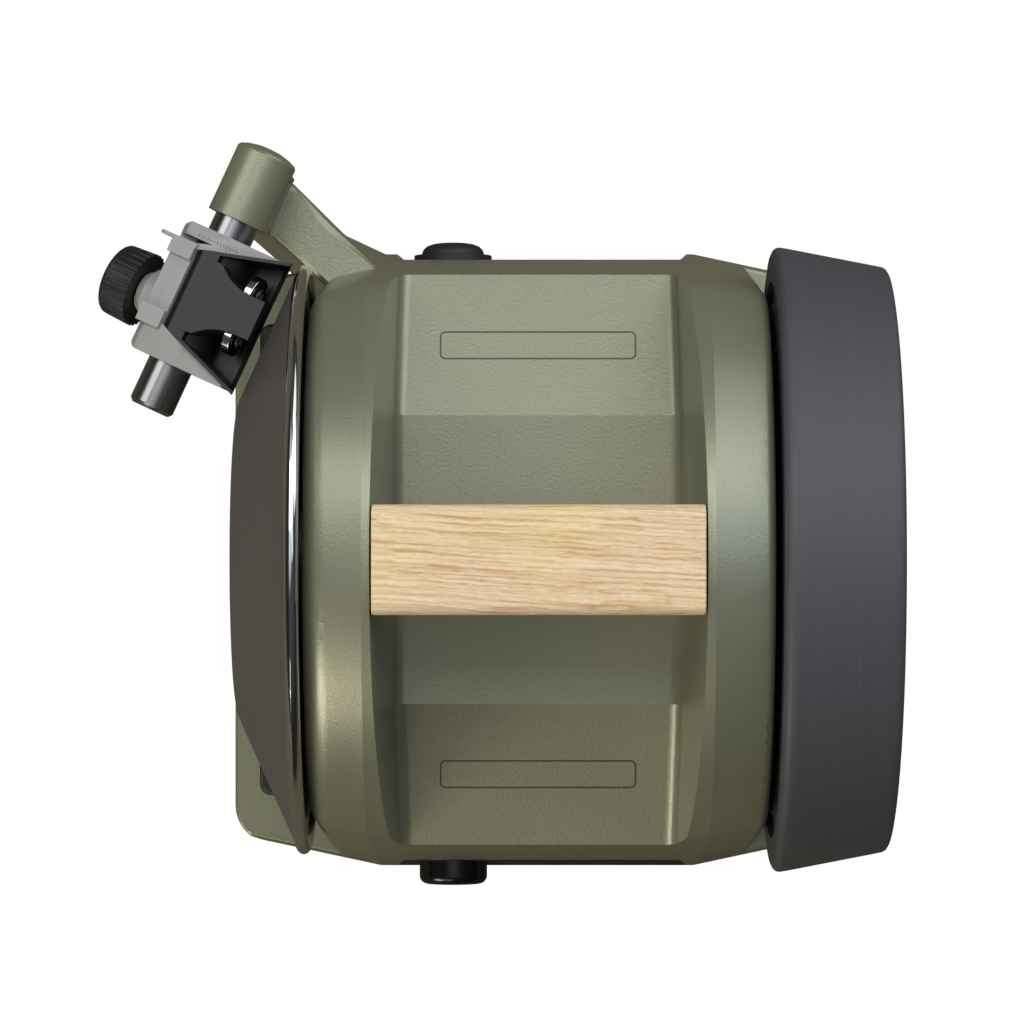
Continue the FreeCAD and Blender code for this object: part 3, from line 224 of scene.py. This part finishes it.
tinted = add(tree, "ShaderNodeMix", {"data_type": "RGBA", "blend_type": "MULTIPLY", "Factor": 1.0},
             {6: ring_colour.outputs[0], 7: heart_tint.outputs[0]})
dashes = add(tree, "ShaderNodeMapping", {"Scale": (0.42 / MM, 2.6 / MM, 2.6 / MM)},
             {"Vector": path.outputs[0]})
pores = add(tree, "ShaderNodeTexNoise", {"Scale": 1.0, "Detail": 1.0}, {"Vector": dashes.outputs[0]})
pore_shade = add(tree, "ShaderNodeMapRange", {1: 0.3, 2: 0.6, 3: 0.88, 4: 1.0}, {0: pores.outputs[0]})
grown = add(tree, "ShaderNodeMix", {"data_type": "RGBA", "blend_type": "MULTIPLY", "Factor": 1.0},
            {6: tinted.outputs[2], 7: pore_shade.outputs[0]})
tree.links.new(grown.outputs[2], shader.inputs["Base Color"])
open_grain = add(tree, "ShaderNodeBump", {"Distance": 0.08 * MM, "Strength": 0.4},
                 {"Height": pores.outputs[0]})
tree.links.new(open_grain.outputs[0], shader.inputs["Normal"])
finished("handle", oak, 30, 0.4 * MM)

# Front panel and push switch: a flat moulded plate let into the front wall, with the switch behind
# it. The round button stands out through a hole in the plate.

# Matt moulding: spark-eroded grain, 2.4 pits to a millimetre, leaves it dull black.
matt_black, tree, shader, place = finish_of("matt_black_moulding", "#131314", 0.5)
pitted = add(tree, "ShaderNodeTexNoise", {"Scale": 2.4 / MM, "Detail": 1.0}, {"Vector": place})
eroded = add(tree, "ShaderNodeBump", {"Distance": 0.04 * MM, "Strength": 0.5},
             {"Height": pitted.outputs[0]})
tree.links.new(eroded.outputs[0], shader.inputs["Normal"])
# Acetal from a polished mould: black with a tight gleam, so that the button stands out.
gloss_black = finish_of("gloss_black_acetal", "#0c0c0d", 0.22)[0]
finished("front_panel", matt_black, 35, 0.4 * MM)
finished("switch_button", gloss_black, 35, 0.3 * MM)
finished("switch_body", gloss_black, 35)

# Cable gland, magnet strip and feet: the gland snaps into the rear wall, the strip lies in a pocket
# of the foot flange, and four pads under the bottom cover keep the machine from sliding.

# Moulded rubber: a soft black that hardly gleams.
rubber = finish_of("black_moulded_rubber", "#18181a", 0.62)[0]
finished("cable_gland", rubber, 35, 0.3 * MM)
finished("magnet_strip", matt_black, 35, 0.3 * MM)
finished("rubber_feet", rubber, 35, 0.4 * MM)

# Diamond wheel: a pressed steel disc, turned on its shaft, with a rolled rim left bright.
# Its cone and flat face are covered in fine bonded diamond grit.


def lathed(name, profile, profile_slots, body):
    """A wheel spun about the shaft from (x, radius) points, with a material slot for each stretch."""
    steps = 256
    shaft_low, shaft_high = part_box("main_shaft")
    centre_y = (shaft_low.y + shaft_high.y) / 2
    centre_z = (shaft_low.z + shaft_high.z) / 2
    vertices = []
    for x, radius in profile:
        for step in range(steps):
            turn = 2 * math.pi * step / steps
            vertices.append((x, centre_y + radius * math.cos(turn), centre_z + radius * math.sin(turn)))
    faces = []
    face_slots = []
    for row, slot in enumerate(profile_slots):
        after = (row + 1) % len(profile)
        for step in range(steps):
            beside = (step + 1) % steps
            faces.append((row * steps + step, after * steps + step,
                          after * steps + beside, row * steps + beside))
            face_slots.append(slot)
    data = bpy.data.meshes.new(name)
    data.from_pydata(vertices, [], faces)
    data.polygons.foreach_set("material_index", face_slots)
    data.validate()
    wheel = in_scene(name, data)
    mesh = bmesh.new()
    mesh.from_mesh(data)
    bmesh.ops.recalc_face_normals(mesh, faces=mesh.faces)
    mesh.to_mesh(data)
    mesh.free()
    data.shade_smooth()
    data.set_sharp_from_angle(angle=math.radians(32))
    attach(wheel, body)
    return wheel


# Bonded grit: 3.6 grains to a millimetre in a nickel bond give a dull brownish grey, a little metallic.
grit, tree, shader, place = finish_of("bonded_diamond_grit", "#55504b", 0.46, 0.35)
grains = add(tree, "ShaderNodeTexNoise", {"Scale": 3.6 / MM, "Detail": 2.0}, {"Vector": place})
grit_colour = add(tree, "ShaderNodeValToRGB", links={0: grains.outputs[0]})
set_ramp(grit_colour, (0.3, "#514e4b"), (0.75, "#6c6965"))
tree.links.new(grit_colour.outputs[0], shader.inputs["Base Color"])
proud_grains = add(tree, "ShaderNodeBump", {"Distance": 0.05 * MM, "Strength": 0.5},
                   {"Height": grains.outputs[0]})
tree.links.new(proud_grains.outputs[0], shader.inputs["Normal"])
# Polished steel: the rolled rim mirrors the lamps in sharp bright stretches.
rim_steel = finish_of("polished_steel_rim", "#c9cacc", 0.08, 1.0)[0]

# The outline in millimetres: x from the middle of the machine, then the radius.
flat_face_x = -78.3
rolled_rim = [(-59.4, 73.4), (-59.05, 74.4), (-59.2, 75.5), (-59.75, 76.3), (-60.6, 76.75),
              (-61.3, 76.75), (-62.1, 76.25), (-62.65, 75.35), (-62.9, 74.3)]
cone = [(-63.05, 73.7), (-66.0, 67.2), (-70.0, 58.45), (-74.0, 49.65), (-77.4, 42.2), (-77.95, 40.7),
        (-78.2, 39.0), (flat_face_x, 36.5)]
hub = [(flat_face_x, 12.0), (-73.8, 12.0), (-73.8, 9.6), (-75.3, 9.6), (-75.3, 5.0), (-60.6, 5.0),
       (-60.6, 14.0)]
back = [(-73.3, 14.0), (-73.3, 39.6), (-60.9, 68.0), (-60.5, 72.0)]
middle_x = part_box("diamond_wheel")[0].x - flat_face_x * MM
outline = [(middle_x + x * MM, radius * MM) for x, radius in rolled_rim + cone + hub + back]
bright = 0
gritted = 1
slots = [bright] * (len(rolled_rim) - 1) + [gritted] * (len(cone + hub) + 1) + [bright] * len(back)
diamond_wheel = lathed("diamond_wheel_turned", outline, slots, "wheel_shaft")
diamond_wheel.data.materials.append(rim_steel)
diamond_wheel.data.materials.append(grit)
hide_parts("diamond_wheel")

# Honing wheel: a thick rubber-bound wheel for polishing, crowned, with a sunk face for its nut.
# It is clamped on the same shaft and dressed true on the machine.

# Dressed compound: a slate grey without gloss. The dresser leaves rings 0.5 mm apart round the
# crown, and the binder shows 3 pits to a millimetre.
hone, tree, shader, place = finish_of("dressed_honing_compound", "#45464a", 0.6)
round_shaft = add(tree, "ShaderNodeMapping", {"Scale": (1.9 / MM, 0.014 / MM, 0.014 / MM)},
                  {"Vector": place})
dressing = add(tree, "ShaderNodeTexNoise", {"Scale": 1.0, "Detail": 3.0, "Roughness": 0.65},
               {"Vector": round_shaft.outputs[0]})
hone_colour = add(tree, "ShaderNodeValToRGB", links={0: dressing.outputs[0]})
set_ramp(hone_colour, (0.28, "#3f4044"), (0.74, "#46474b"))
tree.links.new(hone_colour.outputs[0], shader.inputs["Base Color"])
pits = add(tree, "ShaderNodeTexNoise", {"Scale": 3.0 / MM, "Detail": 1.0}, {"Vector": place})
worn = add(tree, "ShaderNodeMath", {"operation": "MULTIPLY_ADD", 1: 0.6},
           {0: pits.outputs[0], 2: dressing.outputs[0]})
tooth = add(tree, "ShaderNodeBump", {"Distance": 0.04 * MM, "Strength": 0.5},
            {"Height": worn.outputs[0]})
tree.links.new(tooth.outputs[0], shader.inputs["Normal"])

inner_corner = [(60.6, 72.5), (60.6, 78.4), (60.75, 79.6), (61.2, 80.6), (61.9, 81.2)]
crown = [(62.7, 81.35), (65.0, 80.98), (72.0, 79.62), (80.0, 78.07), (87.0, 76.72)]
outer_corner = [(89.3, 76.25), (90.0, 75.85), (90.45, 75.1), (90.6, 74.2)]
sunk_face = [(90.6, 30.0), (83.6, 28.0), (83.6, 5.0)]
inner_face = [(60.6, 5.0), (60.6, 66.0), (62.2, 67.5), (62.2, 71.0)]
outline = [(middle_x + x * MM, radius * MM)
           for x, radius in inner_corner + crown + outer_corner + sunk_face + inner_face]
honing_wheel = lathed("honing_wheel_dressed", outline, [0] * len(outline), "wheel_shaft")
honing_wheel.data.materials.append(hone)
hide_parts("honing_wheel")

# Wheel fixings and shaft: a hexagon nut for each wheel, with a washer under that of the honing
# wheel, on the turned shaft that carries both.

# Zinc plate: a pale grey metal with a soft, even gleam.
plated = finish_of("zinc_plated_steel", "#b4b6b8", 0.3, 1.0)[0]
for node in ("diamond_wheel_nut", "honing_wheel_nut", "honing_wheel_washer"):
    finished(node, plated, 30, 0.2 * MM)
finished("main_shaft", plated, 30)

# Guide bar: a round bar, 12 mm thick, ground and pressed into the boss of the guide arm.

# Dark chrome over a ground bar: grey metal with long soft streaks of light along it.
ground = finish_of("ground_dark_chromed_bar", "#8e8e90", 0.24, 1.0)[0]
finished("guide_shaft", ground, 30, 0.2 * MM)

# Knife guide: a grey moulded yoke tilts on a black bush and carries a black funnel for the blade.
# A fluted knob clamps the tilt, and two polished discs in the funnel keep the edge off the plastic.

# Moulded ABS: a warm grey, and a fine mould grain, 4.2 to a millimetre, takes off its gloss.
grey_abs, tree, shader, place = finish_of("grey_moulded_abs", "#939290", 0.5)
mould_grain = add(tree, "ShaderNodeTexNoise", {"Scale": 4.2 / MM, "Detail": 1.0}, {"Vector": place})
stipple = add(tree, "ShaderNodeBump", {"Distance": 0.02 * MM, "Strength": 0.5},
              {"Height": mould_grain.outputs[0]})
tree.links.new(stipple.outputs[0], shader.inputs["Normal"])
# Filled nylon: near black with a faint sheen on its flat faces.
black_nylon = finish_of("black_filled_nylon", "#0f1012", 0.45)[0]
# Polished stainless steel: warm white glints on the two discs.
disc_steel = finish_of("polished_stainless_disc", "#d8d6d0", 0.14, 1.0)[0]
finished("guide_yoke", grey_abs, 30, 0.3 * MM)
finished("guide_insert", black_nylon, 30, 0.2 * MM)
finished("guide_bush", black_nylon, 30)
finished("pointer_leaf", grey_abs, 30, 0.2 * MM)
finished("clamp_screw", plated, 30)
finished("angle_knob", matt_black, 40, 0.1 * MM)
for node in ("guide_roller_near", "guide_roller_far"):
    finished(node, disc_steel, 30, 0.2 * MM)

# Tilt scale: a row of short lines printed in black on the sloping edge of the yoke, every third
# one longer. A tree sets them in a row above the yoke and lets each drop on to its surface.

# Pad print: a flat black film without gloss.
printed = finish_of("black_pad_print", "#36363a", 0.6)[0]
mark_count = 13
mark_pitch = 0.9 * MM
line_width = 0.2 * MM
line_length = 0.5 * MM
line_film = 0.08 * MM
yoke_middle = Vector((-75.42, 58.78, 98.5)) * MM
toward_blade = Vector((-0.4206, -0.9073, 0.0))
along_bar = Vector((0.9073, -0.4206, 0.0))
behind_middle = 14.2 * MM
before_middle = 6.6 * MM
start_height = Vector((0.0, 0.0, 40.0)) * MM
row_start = yoke_middle - behind_middle * toward_blade - before_middle * along_bar + start_height
marks = in_scene("tilt_scale", bpy.data.meshes.new("tilt_scale"))
tree = bpy.data.node_groups.new("row_of_marks", "GeometryNodeTree")
tree.is_modifier = True
tree.interface.new_socket("Geometry", in_out="OUTPUT", socket_type="NodeSocketGeometry")
for label, value, kind in (("Marks", mark_count, "NodeSocketInt"),
                           ("Pitch", mark_pitch, "NodeSocketFloat"),
                           ("Line width", line_width, "NodeSocketFloat"),
                           ("Line length", line_length, "NodeSocketFloat")):
    tree.interface.new_socket(label, in_out="INPUT", socket_type=kind).default_value = value
given = add(tree, "NodeGroupInput")
result = add(tree, "NodeGroupOutput")
stride = add(tree, "ShaderNodeVectorMath", {"operation": "SCALE", 0: along_bar},
             {"Scale": given.outputs["Pitch"]})
row = add(tree, "GeometryNodeMeshLine", {"Start Location": row_start},
          {"Count": given.outputs["Marks"], "Offset": stride.outputs[0]})
yoke = add(tree, "GeometryNodeObjectInfo", {"Object": frame["nodes"]["guide_yoke"]})
drop = add(tree, "GeometryNodeRaycast", {"Ray Direction": (0.0, 0.0, -1.0), "Ray Length": 100.0 * MM},
           {"Target Geometry": yoke.outputs["Geometry"]})
landed = add(tree, "GeometryNodeSetPosition", None,
             {"Geometry": row.outputs[0], "Position": drop.outputs["Hit Position"]})
number = add(tree, "GeometryNodeInputIndex")
after_third = add(tree, "ShaderNodeMath", {"operation": "MODULO", 1: 3.0}, {0: number.outputs[0]})
is_third = add(tree, "FunctionNodeCompare", {"data_type": "FLOAT", "operation": "LESS_THAN", 1: 0.5},
               {0: after_third.outputs[0]})
stretch = add(tree, "GeometryNodeSwitch", {"input_type": "FLOAT", "False": 1.0, "True": 1.5},
              {"Switch": is_third.outputs[0]})
own_length = add(tree, "ShaderNodeMath", {"operation": "MULTIPLY"},
                 {0: stretch.outputs[0], 1: given.outputs["Line length"]})
line_size = add(tree, "ShaderNodeCombineXYZ", {2: line_film},
                {0: given.outputs["Line width"], 1: own_length.outputs[0]})
line_block = add(tree, "GeometryNodeMeshCube", {"Size": (1.0, 1.0, 1.0)})
flat_on_yoke = add(tree, "FunctionNodeAlignEulerToVector",
                   {"axis": "Z", "Rotation": (0.0, 0.0, math.atan2(along_bar.y, along_bar.x))},
                   {"Vector": drop.outputs["Hit Normal"]})
lines = add(tree, "GeometryNodeInstanceOnPoints", None,
            {"Points": landed.outputs[0], "Instance": line_block.outputs[0],
             "Rotation": flat_on_yoke.outputs[0], "Scale": line_size.outputs[0]})
solid = add(tree, "GeometryNodeRealizeInstances", None, {0: lines.outputs[0]})
inked = add(tree, "GeometryNodeSetMaterial", {"Material": printed}, {0: solid.outputs[0]})
tree.links.new(inked.outputs[0], result.inputs[0])
maker = marks.modifiers.new("row_of_marks", "NODES")
maker.node_group = tree
settled = marks.evaluated_get(bpy.context.evaluated_depsgraph_get())
marks_mesh = bpy.data.meshes.new_from_object(settled)
marks.modifiers.remove(maker)
marks.data = marks_mesh
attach(marks, "guide_head")

# Drive and closing parts, out of sight inside the casting or under it. Each is shown by its own CAD
# piece, bolted, pressed or screwed in place, in the finish that its stock comes with.

# Galvanised sheet is a dull pale grey and screw steel a brighter one. Gear and bearing steel is
# darker, natural nylon a milky white, the stack of laminations almost black with oxide, the wire a
# warm copper red under its clear enamel, and sintered bronze a dull brown gold.
for name, hex_colour, roughness, metallic, nodes in (
        ("galvanised_sheet", "#a8a9a6", 0.42, 0.9,
         ("bottom_cover", "gearbox_plate", "motor_bracket_right", "motor_bracket_left")),
        ("plated_screw_steel", "#b4b6b8", 0.3, 1.0,
         ("cover_screws", "handle_screws", "motor_spacers", "motor_bolts")),
        ("bearing_and_gear_steel", "#8d8d8d", 0.32, 1.0,
         ("shaft_bearing_right", "shaft_bearing_left", "main_gear", "motor_pinion", "gear_arbor",
          "motor_rotor")),
        ("natural_nylon", "#ddd8c6", 0.5, 0.0, ("middle_gear",)),
        ("oxidised_lamination_steel", "#3a3a3c", 0.55, 0.7, ("motor_stator",)),
        ("enamelled_copper_wire", "#b06a38", 0.35, 0.9, ("motor_windings",)),
        ("sintered_bronze", "#9a7444", 0.5, 0.9, ("motor_bushes",))):
    stock = finish_of(name, hex_colour, roughness, metallic)[0]
    for node in nodes:
        frame["nodes"][node].data.materials.clear()
        frame["nodes"][node].data.materials.append(stock)

# Studio: the machine stands on a sheet that the camera sees as white paper and the machine sees as
# a dark warm floor. The room is dark grey, with eight soft lamps and one bright patch of ceiling.

bpy.ops.mesh.primitive_plane_add(size=6, location=(0, 0, 0))
floor = bpy.context.object
floor.name = "studio_floor"
sweep, tree, shader = finish_of("white_sweep_paper", "#f4f4f4", 0.9)[:3]
ray = add(tree, "ShaderNodeLightPath")
glow = add(tree, "ShaderNodeEmission", {"Color": linear("#ffffff"), "Strength": 1.02})
paper = add(tree, "ShaderNodeMixShader", {0: 0.99}, {1: shader.outputs[0], 2: glow.outputs[0]})
unlit = add(tree, "ShaderNodeBsdfDiffuse", {"Color": linear("#6b6355")})
either = add(tree, "ShaderNodeMixShader", None,
             {0: ray.outputs["Is Camera Ray"], 1: unlit.outputs[0], 2: paper.outputs[0]})
tree.links.new(either.outputs[0], tree.nodes["Material Output"].inputs[0])
floor.data.materials.append(sweep)

# The bright patch of ceiling leans 21 degrees to the rear. The rim mirrors it as one long gleam.
ceiling_patch = (0.0, 0.36, 0.933)
world = bpy.data.worlds.new("studio")
bpy.context.scene.world = world
world.use_nodes = True
tree = world.node_tree
ray = add(tree, "ShaderNodeLightPath")
toward = add(tree, "ShaderNodeTexCoord")
near_patch = add(tree, "ShaderNodeVectorMath", {"operation": "DOT_PRODUCT", 1: ceiling_patch},
                 {0: toward.outputs["Generated"]})
room = add(tree, "ShaderNodeValToRGB", links={0: near_patch.outputs["Value"]})
set_ramp(room, (0.0, "#2a2928"), (0.94, "#ffffff"), (0.82, "#525658"))
shown = add(tree, "ShaderNodeMix", {"data_type": "RGBA", 7: linear("#ffffff")},
            {0: ray.outputs["Is Camera Ray"], 6: room.outputs[0]})
tree.links.new(shown.outputs[2], tree.nodes["Background"].inputs[0])
tree.nodes["Background"].inputs[1].default_value = 1.0

# Each lamp: where it stands and how wide it is in metres, its power in watts, and its colour.
lit_point = Vector((0.0, 0.0, 0.12))
for name, stand, size, power, hex_colour in (
        ("cool_bank", (0.72, 0.76, 1.13), 0.75, 5.0, "#eff4ff"),
        ("sky_bank", (0.7, 0.2, 1.35), 0.4, 1.2, "#a9ccff"),
        ("low_bank", (0.75, 1.12, 0.62), 0.75, 2.8, "#ffffff"),
        ("right_bank", (1.2, 0.62, 0.57), 0.6, 2.2, "#ffffff"),
        ("left_bank", (-0.84, 0.66, 1.08), 0.75, 5.2, "#ffffff"),
        ("warm_bank", (-0.42, -1.03, 0.98), 0.75, 2.9, "#fff0dd"),
        ("side_bank", (-0.99, -0.99, 0.6), 0.6, 9.5, "#fff8ee"),
        ("overhead", (0.0, 0.6, 1.45), 0.7, 4.8, "#fafcff")):
    lamp = bpy.data.lights.new(name, "AREA")
    lamp.size = size
    lamp.energy = power
    lamp.color = linear(hex_colour)[:3]
    holder = in_scene(name, lamp)
    holder.location = stand
    holder.rotation_euler = (lit_point - Vector(stand)).to_track_quat("-Z", "Y").to_euler()

# The camera looks straight down from 1.38 m through a long lens, shifted a little off its middle.
lens = bpy.data.cameras.new("from_above")
lens.lens = 172.7
lens.sensor_width = 36
lens.shift_x = -0.01455
lens.shift_y = 0.0466
lens.clip_end = 20
camera = in_scene("from_above", lens)
camera.location = (0.00948, -0.00962, 1.3808)
bpy.context.scene.camera = camera
bpy.context.scene.view_settings.view_transform = "Standard"
